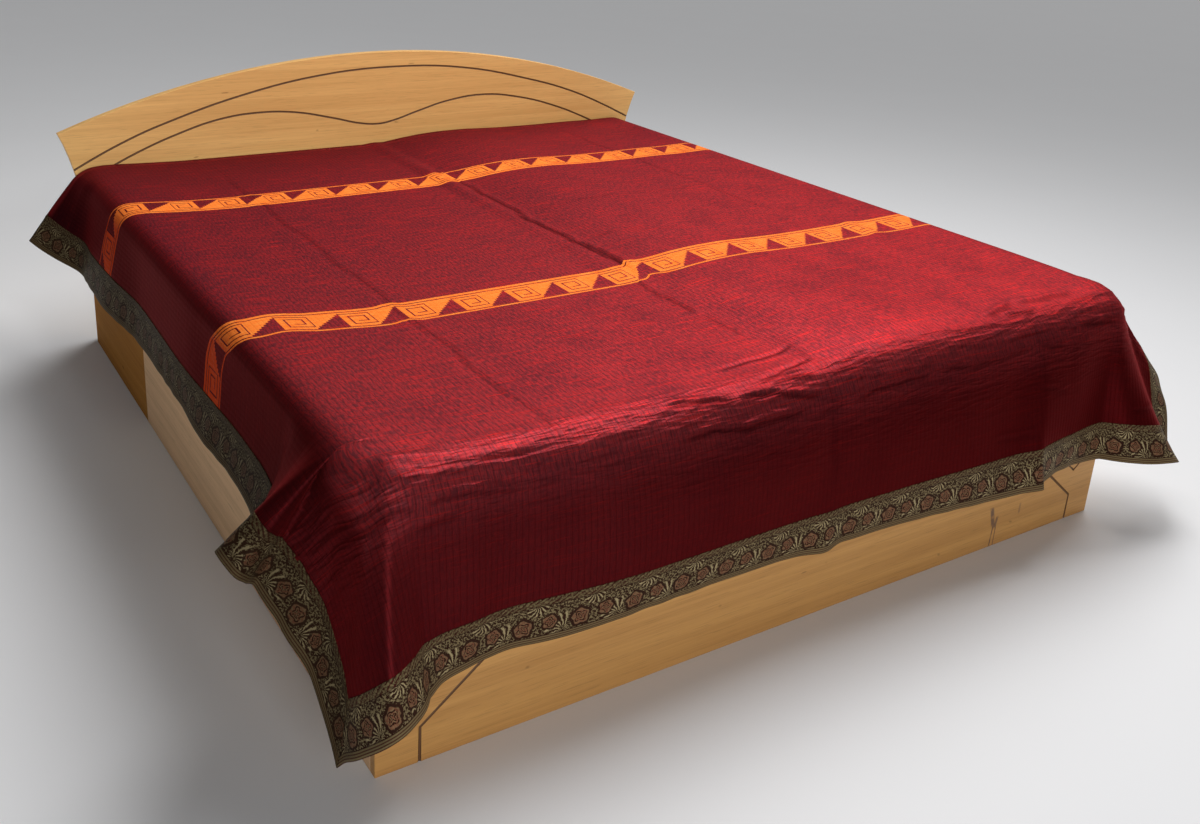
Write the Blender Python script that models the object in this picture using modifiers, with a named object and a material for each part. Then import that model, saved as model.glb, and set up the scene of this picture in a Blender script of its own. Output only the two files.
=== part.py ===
"""Satin bedspread draped over a box bed with a mattress and an arched headboard.

Metres. +X runs across the bed, +Y toward the headboard, +Z up. The origin is the middle of
the bed's base board, on the floor. The cloth is one quilted panel with a woven border along
its left, foot and right edges. Each piece is a thin solid, laid out flat first: u runs across
and v along the bed, and on the flat top of the mattress they equal x and y.
"""

import math

import bmesh
import bpy
import numpy as np
from mathutils import Vector

# --- Bed ---
BED_WIDTH = 1.83
BED_LENGTH = 2.02            # outer face of the foot panel to the headboard
BOX_HEIGHT = 0.36
BOARD = 0.018                # thickness of the box's panels and top boards
BASE_BOARD = 0.012
SIDE_JOINT = 0.42            # y where the front and rear side panels meet
FIT = 0.0004                 # gap between neighbouring pieces
HEADBOARD_THICKNESS = 0.025
HEADBOARD_SHIFT = 0.015      # it stands a little to the right of the box
HEADBOARD_CORNER = (0.99, 0.633)
HEADBOARD_CROWN = 0.82
HEADBOARD_ARC_STEPS = 28
HEADBOARD_SIDES = (          # (height, half width)
    (0.0, 0.915),
    (0.36, 0.922),
    (0.44, 0.934),
    (0.50, 0.947),
    (0.56, 0.963),
    (0.60, 0.976),
)

# --- Mattress ---
MATTRESS_SETBACK = 0.035     # foot edge of the mattress, in from the foot panel
MATTRESS_HEAD_GAP = 0.006
MATTRESS_HEIGHT = 0.1662
MATTRESS_PLAN_RADIUS = 0.10
MATTRESS_EDGE_RADIUS = 0.06
MATTRESS_FOOT_RADIUS = 0.02
MATTRESS_EASE = 0.0006       # how much less it swells than the cloth, so that the two never touch

# --- Cloth ---
PANEL_THICKNESS = 0.003
REST_GAP = 0.0003            # between the cloth and the top of the mattress
BORDER_THICKNESS = 0.0024
BORDER_WIDTH = 0.085
SEAM_GAP = 0.0010
LEFT_REACH = 0.308           # flat lengths from the turning lines to the hem
FOOT_REACH = 0.465
RIGHT_REACH = 0.318
TURN_LEFT, TURN_RIGHT = -0.855, 0.875
TURN_FOOT = -0.88
HEAD_EDGE = 1.002
CORNER_SPAN = 0.6            # share of the way round that each corner takes
STEPS = 40                   # steps along a rib from its turning line

# A rib is the line that the cloth follows from a turning line to the hem. It runs level for
# "start", turns down until "end", then goes from the angle "lean" to the angle "hang" at the
# hem, both off the vertical. "swing" turns it sideways from straight out, +X toward +Y.
# (side, y, corner angle or x, start, end, lean, hang, swing), round from the head-left end
RIBS = (
    ("left", 1.002, 0.03, 0.11, 41, 37, 4),
    ("left", 0.91, 0.03, 0.11, 24, 24, 0),
    ("left", 0.81, 0.03, 0.1, 13, 12, -5),
    ("left", 0.69, 0.03, 0.1, 17, 8, -4),
    ("left", 0.49, 0.03, 0.1, 11, 15, -3),
    ("left", 0.29, 0.03, 0.1, 3, 12, -3),
    ("left", 0.09, 0.03, 0.1, 6, 8, -2),
    ("left", -0.11, 0.03, 0.1, 9, 6, -1),
    ("left", -0.29, 0.03, 0.1, 2, 20, -1),
    ("left", -0.44, 0.03, 0.1, 1, 17, -1),
    ("left", -0.57, 0.03, 0.1, 1, 21, -1),
    ("left", -0.67, 0.03, 0.1, 4, 28, -1),
    ("left", -0.75, 0.03, 0.1, 22, 34, -6),
    ("left", -0.81, 0.03, 0.1, 34, 42, -9),
    ("left", -0.85, 0.03, 0.1, 46, 45, -11),
    ("left corner", 0, 0.03, 0.09, 56, 41, -11),
    ("left corner", 6, 0.03, 0.09, 50, 36, -11),
    ("left corner", 13, 0.03, 0.1, 37, 33, -20),
    ("left corner", 22, 0.03, 0.11, 22, 32, -36),
    ("left corner", 33, 0.03, 0.12, 7, 29, -32),
    ("left corner", 45, 0.03, 0.12, 3, 18, -23),
    ("left corner", 57.4, 0.03, 0.13, 9, 15, -9),
    ("left corner", 66, 0.03, 0.14, 16, 25, -5),
    ("left corner", 74, 0.04, 0.155, 17, 38, -3),
    ("left corner", 82, 0.045, 0.17, 10, 31, 0),
    ("left corner", 90, 0.05, 0.18, 5, 17, 2),
    ("foot", -0.815, 0.05, 0.18, 6, 4, 2),
    ("foot", -0.765, 0.05, 0.18, 8, -4, 2),
    ("foot", -0.695, 0.05, 0.18, 6, -6, 2),
    ("foot", -0.585, 0.05, 0.18, 10, -5, 1),
    ("foot", -0.415, 0.05, 0.18, 20, -14, 0),
    ("foot", -0.215, 0.05, 0.18, 19, -15, -1),
    ("foot", -0.055, 0.05, 0.18, 16, -11, -2),
    ("foot", 0.01, 0.05, 0.18, 12, -1, -2),
    ("foot", 0.075, 0.05, 0.18, 14, -8, -2),
    ("foot", 0.205, 0.05, 0.18, 15, -7, -2),
    ("foot", 0.385, 0.05, 0.18, 14, 1, -2),
    ("foot", 0.545, 0.05, 0.18, 10, 14, -2),
    ("foot", 0.6, 0.05, 0.18, 14, 17, -3),
    ("foot", 0.63, 0.05, 0.18, 18, 2, -3),
    ("foot", 0.735, 0.05, 0.18, 16, -6, -4),
    ("right corner", 0, 0.05, 0.18, 6, 8, -6),
    ("right corner", 12, 0.05, 0.17, 16, 21, -3),
    ("right corner", 24, 0.05, 0.16, 19, 38, 5),
    ("right corner", 34.3, 0.04, 0.15, 27, 26, 18),
    ("right corner", 48, 0.04, 0.13, 40, 32, 15),
    ("right corner", 62, 0.03, 0.12, 45, 43, 14),
    ("right corner", 76, 0.03, 0.11, 36, 37, 16),
    ("right corner", 90, 0.03, 0.1, 22, 26, 16),
    ("right", -0.79, 0.03, 0.1, 3, 16, 8),
    ("right", -0.65, 0.03, 0.1, 6, 10, 4),
    ("right", -0.41, 0.03, 0.1, 5, 8, 2),
    ("right", 0.19, 0.03, 0.1, 7, 9, 1),
    ("right", 1.002, 0.03, 0.1, 15, 13, 0),
)

# The mattress is uneven, and its right half stands higher: (u, height), and by v: (v, share)
SWELL = (
    (-0.93, 0.0),
    (-0.86, 0.008),
    (-0.75, 0.004),
    (-0.62, 0.0),
    (-0.06, 0.0),
    (0.005, 0.003),
    (0.03, 0.0065),
    (0.08, 0.014),
    (0.155, 0.022),
    (0.225, 0.0255),
    (0.29, 0.026),
    (0.36, 0.0235),
    (0.45, 0.0205),
    (0.57, 0.0195),
    (0.70, 0.0205),
    (0.79, 0.0195),
    (0.84, 0.0205),
    (0.89, 0.0215),
    (0.93, 0.018),
    (0.98, 0.007),
    (1.05, 0.0),
)
SWELL_SHARE = ((-1.06, 0.0), (-0.97, 0.45), (-0.90, 0.82), (-0.82, 0.95), (-0.66, 1.0), (1.002, 0.9))

# The fold down the middle stands up as a narrow crest, mostly toward the head: (v, height)
CREST_U, CREST_HALF_WIDTH = -0.028, 0.04
CREST = ((-0.50, 0.0), (-0.36, 0.002), (0.10, 0.003), (0.57, 0.008), (0.80, 0.004), (1.002, 0.003))

# --- Lines of the flat grid ---
U_TOP = (-0.855, -0.80, -0.72, -0.65, -0.585, -0.43, -0.28, -0.14, -0.07, -0.05, -0.028, -0.01,
         0.012, 0.04, 0.09, 0.155, 0.225, 0.29, 0.36, 0.45, 0.52, 0.57, 0.60, 0.63, 0.70, 0.76,
         0.80, 0.83, 0.85, 0.875)
V_TOP = (-0.88, -0.86, -0.84, -0.815, -0.785, -0.75, -0.71, -0.66, -0.60, -0.53, -0.44, -0.36,
         -0.26, -0.12, 0.05, 0.22, 0.40, 0.50, 0.57, 0.65, 0.74, 0.81, 0.86, 0.91, 0.955, 1.002)
SIDE_BEND = (0.03, 0.045, 0.06, 0.075, 0.09, 0.11)
SIDE_HANG_LINES = 4
FOOT_BEND = (0.035, 0.06, 0.08, 0.10, 0.12, 0.14, 0.16, 0.18)
FOOT_HANG_LINES = 7
BORDER_LINES = 3
MITRE_SPREAD = 0.12          # length over which the border's cross lines slant into a mitre

HALF_WIDTH = BED_WIDTH / 2
MATTRESS_TOP = BOX_HEIGHT + FIT + MATTRESS_HEIGHT
TOP = MATTRESS_TOP + REST_GAP + PANEL_THICKNESS / 2     # mid surface of the cloth lying flat
FOOT_FACE = -BED_LENGTH / 2
HEAD_FACE = BED_LENGTH / 2
HEM_LEFT = TURN_LEFT - LEFT_REACH
HEM_RIGHT = TURN_RIGHT + RIGHT_REACH
HEM_FOOT = TURN_FOOT - FOOT_REACH
SEAM_LEFT = HEM_LEFT + BORDER_WIDTH
SEAM_RIGHT = HEM_RIGHT - BORDER_WIDTH
SEAM_FOOT = HEM_FOOT + BORDER_WIDTH


def way_round(side, at):
    """Distance round the cloth, from its head-left end, of a place on one side."""
    foot_start = HEAD_EDGE - TURN_FOOT + CORNER_SPAN
    right_start = foot_start + TURN_RIGHT - TURN_LEFT + CORNER_SPAN
    return {
        "left": HEAD_EDGE - at,
        "left corner": HEAD_EDGE - TURN_FOOT + CORNER_SPAN * at / 90,
        "foot": foot_start + at - TURN_LEFT,
        "right corner": right_start - CORNER_SPAN + CORNER_SPAN * at / 90,
        "right": right_start + at - TURN_FOOT,
    }[side]


def through(at, stops, values):
    """A smooth curve through each column of values that never overshoots them."""
    gap = np.diff(stops)
    slope = np.diff(values, axis=0) / gap[:, None]
    before, after = slope[:-1], slope[1:]
    w_before = (2 * gap[1:] + gap[:-1])[:, None]
    w_after = (gap[1:] + 2 * gap[:-1])[:, None]
    turns = before * after <= 0
    safe_before = np.where(turns, 1, before)
    safe_after = np.where(turns, 1, after)
    mean = (w_before + w_after) / (w_before / safe_before + w_after / safe_after)
    tangent = np.vstack([slope[:1], np.where(turns, 0, mean), slope[-1:]])
    i = np.clip(np.searchsorted(stops, at, side="right") - 1, 0, len(stops) - 2)
    h = gap[i][:, None]
    t = ((at - stops[i]) / gap[i])[:, None]
    return (
        (2 * t**3 - 3 * t**2 + 1) * values[i]
        + (t**3 - 2 * t**2 + t) * h * tangent[i]
        + (3 * t**2 - 2 * t**3) * values[i + 1]
        + (t**3 - t**2) * h * tangent[i + 1]
    )


def soft_step(x):
    x = np.clip(x, 0, 1)
    return x * x * (3 - 2 * x)


def by_place(table):
    """A smooth function of place from rows of (place, value, ...)."""
    stops = np.array([row[0] for row in table])
    values = np.array([row[1:] for row in table], float)
    return lambda at: through(np.clip(at, stops[0], stops[-1]), stops, values)


rib = by_place(
    [
        (way_round(side, at), start, end, *np.radians((lean, hang, swing)))
        for side, at, start, end, lean, hang, swing in RIBS
    ]
)
swell_across, swell_along, crest_along = by_place(SWELL), by_place(SWELL_SHARE), by_place(CREST)


def swell(u, v):
    """How far the uneven mattress lifts the cloth."""
    return (swell_across(u) * swell_along(v))[:, 0]


def crest(u, v):
    """How far the middle fold stands up from the mattress."""
    return crest_along(v)[:, 0] * soft_step(1 - np.abs(u - CREST_U) / CREST_HALF_WIDTH)


def drape(u, v):
    """Mid surface of the cloth in space, for arrays of flat places."""
    base_x = np.clip(u, TURN_LEFT, TURN_RIGHT)
    base_y = np.maximum(v, TURN_FOOT)
    across, along = u - base_x, v - base_y
    run = np.hypot(across, along)
    angle = np.degrees(np.arctan2(np.abs(along), np.abs(across)))
    left, right, foot = u < TURN_LEFT, u > TURN_RIGHT, v < TURN_FOOT
    sides = [left & foot, right & foot, left, right]
    place = np.select(
        sides,
        [
            way_round("left corner", angle),
            way_round("right corner", 90 - angle),
            way_round("left", base_y),
            way_round("right", base_y),
        ],
        way_round("foot", base_x),
    )
    start, end, lean, hang, swing = rib(place).T
    straight_out = np.select(sides, [180 + angle, 360 - angle, 180, 360], 270)
    heading = np.radians(straight_out) + swing
    side_reach = np.where(left, LEFT_REACH, RIGHT_REACH)
    to_side = side_reach * run / np.maximum(np.abs(across), 1e-6)
    to_foot = FOOT_REACH * run / np.maximum(np.abs(along), 1e-6)
    hem = np.maximum(np.minimum(to_side, to_foot), end + 0.05)
    s = run[:, None] * (np.arange(STEPS) + 0.5) / STEPS
    turned = soft_step((s - start[:, None]) / (end - start)[:, None])
    past = np.clip((s - end[:, None]) / (hem - end)[:, None], 0, 1)
    dip = turned * (math.pi / 2 - lean[:, None]) + past * (lean - hang)[:, None]
    out = np.cos(dip).mean(axis=1) * run
    down = np.sin(dip).mean(axis=1) * run
    return np.stack(
        [
            base_x + out * np.cos(heading),
            base_y + out * np.sin(heading),
            TOP - down + swell(u, v) + crest(u, v),
        ],
        axis=1,
    )


def material(name, colour, roughness):
    made = bpy.data.materials.get(name) or bpy.data.materials.new(name)
    made.use_nodes = True
    shader = made.node_tree.nodes["Principled BSDF"]
    shader.inputs["Base Color"].default_value = (*colour, 1)
    shader.inputs["Roughness"].default_value = roughness
    return made


def add_mesh(name, bm, finish):
    """An object in the bedspread's collection from a bmesh, which is used up."""
    mesh = bpy.data.meshes.new(name)
    bm.to_mesh(mesh)
    bm.free()
    mesh.materials.append(finish)
    obj = bpy.data.objects.new(name, mesh)
    bedspread.objects.link(obj)
    return obj


def cube_between(low, high):
    """A bmesh cuboid from its lowest and highest corners."""
    bm = bmesh.new()
    bmesh.ops.create_cube(bm, size=1)
    size = Vector(high) - Vector(low)
    bmesh.ops.scale(bm, vec=size, verts=bm.verts)
    bmesh.ops.translate(bm, vec=(Vector(low) + Vector(high)) / 2, verts=bm.verts)
    return bm


def add_board(name, low, high, finish):
    return add_mesh(name, cube_between(low, high), finish)


def round_edges(bm, radius, segments, chosen):
    edges = [edge for edge in bm.edges if chosen(*(vert.co for vert in edge.verts))]
    bmesh.ops.bevel(bm, geom=edges, offset=radius, segments=segments, profile=0.5, affect="EDGES")


def add_mattress():
    """A slab with rounded corners and edges, whose top swells as the cloth on it does."""
    low, high = BOX_HEIGHT + FIT, MATTRESS_TOP
    bm = cube_between(
        (-HALF_WIDTH, FOOT_FACE + MATTRESS_SETBACK, low),
        (HALF_WIDTH, HEAD_FACE - MATTRESS_HEAD_GAP, high),
    )
    near = 1e-5
    round_edges(bm, MATTRESS_PLAN_RADIUS, 5, lambda a, b: abs(a.z - b.z) > near)
    round_edges(bm, MATTRESS_EDGE_RADIUS, 5, lambda a, b: min(a.z, b.z) > high - near)
    round_edges(bm, MATTRESS_FOOT_RADIUS, 2, lambda a, b: max(a.z, b.z) < low + near)
    cuts = [(Vector((u, 0, 0)), Vector((1, 0, 0))) for u in U_TOP]
    cuts += [(Vector((0, v, 0)), Vector((0, 1, 0))) for v in V_TOP]
    for place, normal in cuts:
        geometry = [*bm.verts, *bm.edges, *bm.faces]
        bmesh.ops.bisect_plane(bm, geom=geometry, plane_co=place, plane_no=normal)
    bmesh.ops.remove_doubles(bm, verts=bm.verts, dist=near)
    for vert in bm.verts:
        height = (vert.co.z - low) / (high - low)
        lift = swell(np.array([vert.co.x]), np.array([vert.co.y]))[0]
        vert.co.z += max(lift - MATTRESS_EASE, 0) * height
    return add_mesh("mattress", bm, ticking)


def add_headboard():
    """An upright board with a shallow arched top and sides that splay toward it."""
    corner_x, corner_z = HEADBOARD_CORNER
    rise = HEADBOARD_CROWN - corner_z
    radius = (corner_x**2 + rise**2) / (2 * rise)
    reach = math.asin(corner_x / radius)
    outline = [(half, height) for height, half in HEADBOARD_SIDES]
    for k in range(HEADBOARD_ARC_STEPS + 1):
        turn = reach * (1 - 2 * k / HEADBOARD_ARC_STEPS)
        outline.append((radius * math.sin(turn), HEADBOARD_CROWN - radius * (1 - math.cos(turn))))
    outline += [(-half, height) for height, half in reversed(HEADBOARD_SIDES)]
    curve = bpy.data.curves.new("headboard", "CURVE")
    curve.dimensions = "2D"
    curve.fill_mode = "BOTH"
    curve.extrude = HEADBOARD_THICKNESS / 2
    spline = curve.splines.new("POLY")
    spline.points.add(len(outline) - 1)
    for point, (x, z) in zip(spline.points, outline):
        point.co = (x, z, 0, 1)
    spline.use_cyclic_u = True
    curve.materials.append(honey)
    obj = bpy.data.objects.new("headboard", curve)
    obj.location.x = HEADBOARD_SHIFT
    obj.location.y = HEAD_FACE + FIT + HEADBOARD_THICKNESS / 2
    obj.rotation_euler.x = math.pi / 2
    bedspread.objects.link(obj)
    return obj


def add_cloth(name, u, v, thickness, finish):
    """A thin solid over a grid of flat places, counter-clockwise as (row, column)."""
    rows, columns = u.shape
    bm = bmesh.new()
    bmesh.ops.create_grid(bm, x_segments=rows - 1, y_segments=columns - 1, size=0.5)
    places = drape(u.ravel(), v.ravel()).reshape(rows, columns, 3)
    for vert in bm.verts:
        row = round((vert.co.x + 0.5) * (rows - 1))
        column = round((vert.co.y + 0.5) * (columns - 1))
        vert.co = places[row, column]
    bmesh.ops.triangulate(bm, faces=bm.faces, quad_method="FIXED")
    obj = add_mesh(name, bm, finish)
    solidify = obj.modifiers.new("thickness", "SOLIDIFY")
    solidify.thickness = thickness
    solidify.offset = 0
    return obj


for startup in list(bpy.data.objects):
    bpy.data.objects.remove(startup, do_unlink=True)
bedspread = bpy.data.collections.new("bedspread on box bed")
bpy.context.scene.collection.children.link(bedspread)

# --- Bed: box of boards on a base board, with a headboard behind ---
honey = material("honey veneer", (0.62, 0.42, 0.20), 0.45)
beige = material("beige veneer", (0.72, 0.62, 0.48), 0.45)
ticking = material("mattress ticking", (0.78, 0.76, 0.72), 0.85)
inside = HALF_WIDTH - BOARD - FIT
add_board("base_board", (-inside, FOOT_FACE + BOARD + FIT, 0), (inside, HEAD_FACE, BASE_BOARD), honey)
add_board(
    "top_boards",
    (-inside, FOOT_FACE + BOARD + FIT, BOX_HEIGHT - BOARD),
    (inside, HEAD_FACE, BOX_HEIGHT),
    honey,
)
add_board(
    "foot_panel",
    (-HALF_WIDTH, FOOT_FACE, 0),
    (HALF_WIDTH, FOOT_FACE + BOARD, BOX_HEIGHT),
    honey,
)
for name, sign in (("left", -1), ("right", 1)):
    outer, inner = sorted((sign * HALF_WIDTH, sign * (HALF_WIDTH - BOARD)))
    add_board(
        f"side_panel_{name}_front",
        (outer, FOOT_FACE + BOARD + FIT, 0),
        (inner, SIDE_JOINT - FIT / 2, BOX_HEIGHT),
        beige,
    )
    add_board(
        f"side_panel_{name}_rear",
        (outer, SIDE_JOINT + FIT / 2, 0),
        (inner, HEAD_FACE, BOX_HEIGHT),
        honey,
    )
add_headboard()
add_mattress()

# --- Cloth: the quilted panel, then the border along three of its edges ---
side_hang = LEFT_REACH - BORDER_WIDTH - SIDE_BEND[-1]
left_lines = [TURN_LEFT - s for s in SIDE_BEND]
left_lines += [
    TURN_LEFT - SIDE_BEND[-1] - side_hang * k / SIDE_HANG_LINES
    for k in range(1, SIDE_HANG_LINES + 1)
]
right_hang = RIGHT_REACH - BORDER_WIDTH - SIDE_BEND[-1]
right_lines = [TURN_RIGHT + s for s in SIDE_BEND]
right_lines += [
    TURN_RIGHT + SIDE_BEND[-1] + right_hang * k / SIDE_HANG_LINES
    for k in range(1, SIDE_HANG_LINES + 1)
]
foot_hang = FOOT_REACH - BORDER_WIDTH - FOOT_BEND[-1]
foot_lines = [TURN_FOOT - s for s in FOOT_BEND]
foot_lines += [
    TURN_FOOT - FOOT_BEND[-1] - foot_hang * k / FOOT_HANG_LINES
    for k in range(1, FOOT_HANG_LINES + 1)
]
u_lines = np.array(sorted([*left_lines, *U_TOP, *right_lines]))
v_lines = np.array(sorted([*foot_lines, *V_TOP]))
u_panel, v_panel = u_lines.copy(), v_lines.copy()
u_panel[0] += SEAM_GAP
u_panel[-1] -= SEAM_GAP
v_panel[0] += SEAM_GAP
add_cloth(
    "quilted_panel",
    *np.meshgrid(u_panel, v_panel, indexing="ij"),
    PANEL_THICKNESS,
    material("maroon satin", (0.30, 0.02, 0.03), 0.5),
)

brocade = material("olive gold brocade", (0.30, 0.24, 0.14), 0.6)
q = np.linspace(0, BORDER_WIDTH, BORDER_LINES + 1)
slant_v = np.clip(1 - (v_lines - SEAM_FOOT) / MITRE_SPREAD, 0, 1)
side_v = v_lines[:, None] - slant_v[:, None] * (q[None, :] - SEAM_GAP)
add_cloth(
    "border_left",
    np.broadcast_to(SEAM_LEFT - q, side_v.shape),
    side_v,
    BORDER_THICKNESS,
    brocade,
)
add_cloth(
    "border_right",
    np.broadcast_to(SEAM_RIGHT + q, side_v.shape)[::-1],
    side_v[::-1],
    BORDER_THICKNESS,
    brocade,
)
slant_left = np.clip(1 - (u_lines - SEAM_LEFT) / MITRE_SPREAD, 0, 1)
slant_right = np.clip(1 - (SEAM_RIGHT - u_lines) / MITRE_SPREAD, 0, 1)
foot_u = u_lines[:, None] + (slant_right - slant_left)[:, None] * (q[None, :] - SEAM_GAP)
add_cloth(
    "border_foot",
    foot_u[::-1],
    np.broadcast_to(SEAM_FOOT - q, foot_u.shape)[::-1],
    BORDER_THICKNESS,
    brocade,
)
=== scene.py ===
import math

import bmesh
import bpy
import numpy as np
from mathutils import Matrix, Vector


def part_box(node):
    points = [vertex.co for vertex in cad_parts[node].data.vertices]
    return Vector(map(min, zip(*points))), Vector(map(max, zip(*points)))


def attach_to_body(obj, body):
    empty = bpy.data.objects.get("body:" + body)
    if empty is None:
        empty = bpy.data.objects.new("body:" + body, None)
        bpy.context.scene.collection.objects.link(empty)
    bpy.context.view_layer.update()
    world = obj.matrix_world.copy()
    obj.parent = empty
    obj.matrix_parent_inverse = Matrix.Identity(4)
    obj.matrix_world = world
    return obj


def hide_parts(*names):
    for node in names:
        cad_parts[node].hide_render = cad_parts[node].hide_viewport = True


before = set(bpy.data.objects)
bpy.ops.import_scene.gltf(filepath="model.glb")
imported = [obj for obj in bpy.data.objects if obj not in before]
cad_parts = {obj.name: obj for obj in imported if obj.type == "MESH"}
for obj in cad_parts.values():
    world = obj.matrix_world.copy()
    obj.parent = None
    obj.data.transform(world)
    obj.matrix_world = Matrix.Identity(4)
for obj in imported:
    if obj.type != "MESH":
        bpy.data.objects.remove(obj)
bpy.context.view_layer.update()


# --- Room ---
# A plain pale floor under a soft sun, two light panels and a lamp, with the camera at standing
# height off the bed's left foot corner. None of it is part of the bedspread.
scene = bpy.context.scene
FLOOR_COLOUR, FLOOR_SHADE, FLOOR_REACH = (0.86, 0.86, 0.87), 0.98, 30
SKY_COLOUR, SKY_STRENGTH = (0.95, 0.97, 1.0, 1), 0.075
CAMERA_PLACE = Vector((-1.537, -2.419, 1.402))
CAMERA_YAW, CAMERA_PITCH = math.radians(31.657), math.radians(19.015)
CAMERA_ROLL = math.radians(2.416)
CAMERA_LENS, SENSOR_WIDTH = 35.44422, 36
CAMERA_SHIFT = (0.060944167, -0.118601667)


class Wire:
    """A shader socket. Maths on it adds the nodes, and make() adds any other node."""

    def __init__(self, tree, socket=None):
        self.tree, self.socket = tree, socket

    def make(self, kind, settings=None, sockets=None, out=0):
        """Adds a node: its settings first, then the value or the wire for each socket."""
        node = self.tree.nodes.new(kind)
        for name, value in (settings or {}).items():
            setattr(node, name, value)
        for name, value in (sockets or {}).items():
            if isinstance(value, Wire):
                self.tree.links.new(value.socket, node.inputs[name])
            else:
                node.inputs[name].default_value = value
        return Wire(self.tree, node.outputs[out])

    def maths(self, operation, *values):
        settings = {"operation": operation}
        return self.make("ShaderNodeMath", settings, dict(enumerate(values)))

    def __add__(self, other):
        return self.maths("ADD", self, other)

    def __sub__(self, other):
        return self.maths("SUBTRACT", self, other)

    def __rsub__(self, other):
        return self.maths("SUBTRACT", other, self)

    def __mul__(self, other):
        return self.maths("MULTIPLY", self, other)

    def __truediv__(self, other):
        return self.maths("DIVIDE", self, other)

    def __neg__(self):
        return self.maths("MULTIPLY", self, -1)

    def __abs__(self):
        return self.maths("ABSOLUTE", self)

    __radd__, __rmul__ = __add__, __mul__

    def least(self, other):
        return self.maths("MINIMUM", self, other)

    def most(self, other):
        return self.maths("MAXIMUM", self, other)

    def wave(self, length):
        """Sine of this distance, once over each length."""
        return self.maths("SINE", self * (2 * math.pi / length))

    def repeat(self, length):
        """This distance inside its own repeat, from minus half a length to half a length."""
        return self.maths("WRAP", self, length / 2, -length / 2)

    def rise(self, low, high):
        """From 0 at low to 1 at high, smooth between them. High may be the lower number."""
        settings = {"interpolation_type": "SMOOTHSTEP"}
        places = {"Value": self, "From Min": low, "From Max": high}
        return self.make("ShaderNodeMapRange", settings, places)

    def across(self, low, high):
        """From low where this is 0 to high where it is 1."""
        return self * (high - low) + low


def blend(factor, first, second):
    """Mixes two colours, each a wire or a plain colour."""
    wires = [value for value in (factor, first, second) if isinstance(value, Wire)]
    colours = [value if isinstance(value, Wire) else (*value, 1) for value in (first, second)]
    sockets = {0: factor, 6: colours[0], 7: colours[1]}
    return wires[0].make("ShaderNodeMix", {"data_type": "RGBA"}, sockets, out=2)


def object_place(wire):
    """Where each point is on its object, in metres."""
    return wire.make("ShaderNodeTexCoord", out="Object")


def stored(wire, name, out):
    """Numbers stored at each point under this name, as a vector or as one number."""
    return wire.make("ShaderNodeAttribute", {"attribute_name": name}, out=out)


def vector_of(x, y, z=0.0):
    wire = next(value for value in (x, y, z) if isinstance(value, Wire))
    return wire.make("ShaderNodeCombineXYZ", None, {0: x, 1: y, 2: z})


def parts_of(vector):
    return [vector.make("ShaderNodeSeparateXYZ", None, {0: vector}, out=k) for k in range(3)]


def speckle(place, scale, detail=2.0, rough=0.5):
    """Cloudy variation from 0 to 1. Scale is the number of spots a metre along x, y and z."""
    stretched = place.make("ShaderNodeVectorMath", {"operation": "MULTIPLY"}, {0: place, 1: scale})
    sockets = {"Vector": stretched, "Scale": 1.0, "Detail": detail, "Roughness": rough}
    return place.make("ShaderNodeTexNoise", {"noise_dimensions": "3D"}, sockets)


def finish(name, roughness=0.5, **constants):
    """A new material: its shader node, and a wire to start its maths from."""
    material = bpy.data.materials.new(name)
    material.use_nodes = True
    shader = material.node_tree.nodes["Principled BSDF"]
    shader.inputs["Roughness"].default_value = roughness
    for socket, value in constants.items():
        shader.inputs[socket.replace("_", " ")].default_value = value
    return material, shader, Wire(material.node_tree)


def attach(shader, socket, wire):
    wire.tree.links.new(wire.socket, shader.inputs[socket])


def emboss(shader, height, depth, strength=1.0):
    """Raises the surface by height, from 0 to 1, times a depth in metres."""
    sockets = {"Strength": strength, "Distance": depth, "Height": height}
    attach(shader, "Normal", height.make("ShaderNodeBump", None, sockets))


def grid_object(name, points, faces):
    mesh = bpy.data.meshes.new(name)
    mesh.from_pydata(points, [], faces)
    obj = bpy.data.objects.new(name, mesh)
    scene.collection.objects.link(obj)
    return obj


floor_signs = ((-1, -1), (1, -1), (1, 1), (-1, 1))
floor_corners = [(x * FLOOR_REACH, y * FLOOR_REACH, 0) for x, y in floor_signs]
floor = grid_object("floor", floor_corners, [(0, 1, 2, 3)])
floor_paint, floor_shader, wire = finish("floor paint", 0.9)
darker = tuple(FLOOR_SHADE * part for part in FLOOR_COLOUR)
patches = speckle(object_place(wire), (2, 2, 2))
attach(floor_shader, "Base Color", blend(patches, FLOOR_COLOUR, darker))
floor.data.materials.append(floor_paint)

world = bpy.data.worlds.new("room")
world.use_nodes = True
background = world.node_tree.nodes["Background"]
background.inputs["Color"].default_value = SKY_COLOUR
background.inputs["Strength"].default_value = SKY_STRENGTH
scene.world = world
scene.view_settings.view_transform = "Standard"

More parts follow.
